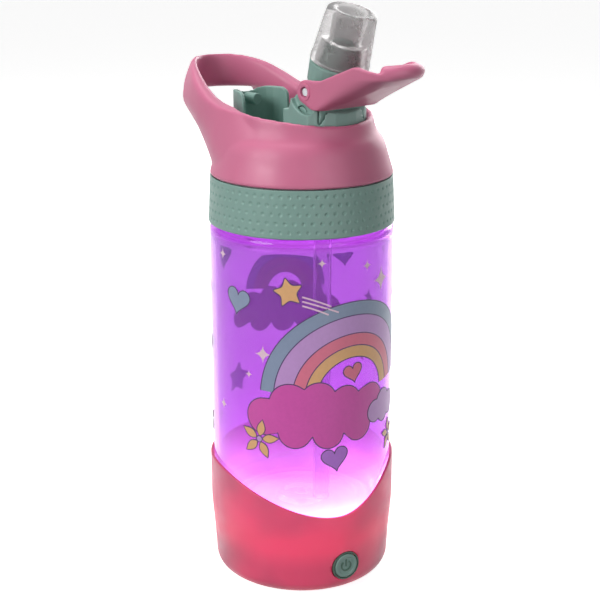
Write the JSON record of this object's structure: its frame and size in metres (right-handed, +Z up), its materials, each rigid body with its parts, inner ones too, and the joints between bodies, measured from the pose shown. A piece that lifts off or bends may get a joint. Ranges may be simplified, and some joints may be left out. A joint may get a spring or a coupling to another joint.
{
  "type": "kids water bottle",
  "caption": "Clear kids drinking bottle in a light-up base, with a screw lid, flip-up spout, visor cover, carry loop and straw.",
  "frame": {"origin": "centre of the light base's flat underside", "axes": "+Z up along the bottle's axis, +X towards the front of the lid (the cover's thumb lip), the carry loop is at -X"},
  "size_m": [0.1222, 0.0746, 0.2299],
  "materials": {
    "pink_plastic": "satin",
    "pink_translucent": "satin",
    "mint_plastic": "satin",
    "clear_bottle": "gloss",
    "clear_silicone": "satin",
    "white_plastic": "satin",
    "milky_lens": "satin",
    "lamp": "gloss",
    "board_green": "satin",
    "dark_plastic": "satin",
    "steel": "satin",
    "print_ink": "satin"
  },
  "bodies": {
    "base": {"base_cup": "pink_translucent", "bottom_cover": "pink_translucent", "battery_door": "pink_translucent", "door_screw": "steel", "battery_tray": "white_plastic", "coin_cell_1": "steel", "coin_cell_2": "steel", "contact_plate": "steel", "led_board": "board_green", "control_chip": "dark_plastic", "reflector": "white_plastic", "light_lens": "milky_lens", "press_switch": "dark_plastic", "button_bezel": "dark_plastic", "cover_screw_1": "steel", "board_screw_1": "steel", "cover_screw_2": "steel", "board_screw_2": "steel", "cover_screw_3": "steel", "board_screw_3": "steel", "led_1": "lamp", "led_2": "lamp", "led_3": "lamp", "led_4": "lamp"},
    "bottle": {"bottle_body": "clear_bottle"},
    "seal": {"lid_seal": "clear_silicone"},
    "lid": {"screw_cap": "white_plastic", "grip_band": "mint_plastic", "lid_shell": "pink_plastic", "spout_cradle": "mint_plastic", "mouth_plug": "clear_silicone", "hinge_pin_near": "steel", "hinge_pin_far": "steel", "vent_valve": "clear_silicone", "straw_adapter": "clear_silicone", "straw": "clear_silicone"},
    "cover": {"spout_cover": "pink_plastic"},
    "spout": {"spout_core": "mint_plastic", "mouthpiece": "clear_silicone"},
    "button": {"power_button": "mint_plastic"}
  },
  "joints": [
    {"name": "bottle_lift", "type": "slide", "parent": "base", "child": "bottle", "axis": [0, 0, 1], "range_m": [0, 0.03]},
    {"name": "lid_rise", "type": "slide", "parent": "bottle", "child": "seal", "axis": [0, 0, 1], "range_m": [0, 0.0061]},
    {"name": "lid_turn", "type": "hinge", "parent": "seal", "child": "lid", "pos_m": [0, 0, 0.155], "axis": [0, 0, 1], "range_deg": [0, 540]},
    {"name": "cover_flip", "type": "hinge", "parent": "lid", "child": "cover", "pos_m": [0.0185, 0, 0.1983], "axis": [0, -1, 0], "range_deg": [0, 156]},
    {"name": "spout_tilt", "type": "hinge", "parent": "lid", "child": "spout", "pos_m": [0.0146, 0, 0.19], "axis": [0, -1, 0], "range_deg": [0, 109.5]},
    {"name": "button_press", "type": "slide", "parent": "base", "child": "button", "axis": [-0.9759, 0.2181, 0], "range_m": [0, 0.0008], "stiffness_N_per_m": 900}
  ],
  "couplings": [
    {"joint": "lid_rise", "follows": "lid_turn", "m_per_rad": 0.00063662},
    {"joint": "spout_tilt", "follows": "cover_flip", "ratio": 0.69872}
  ]
}
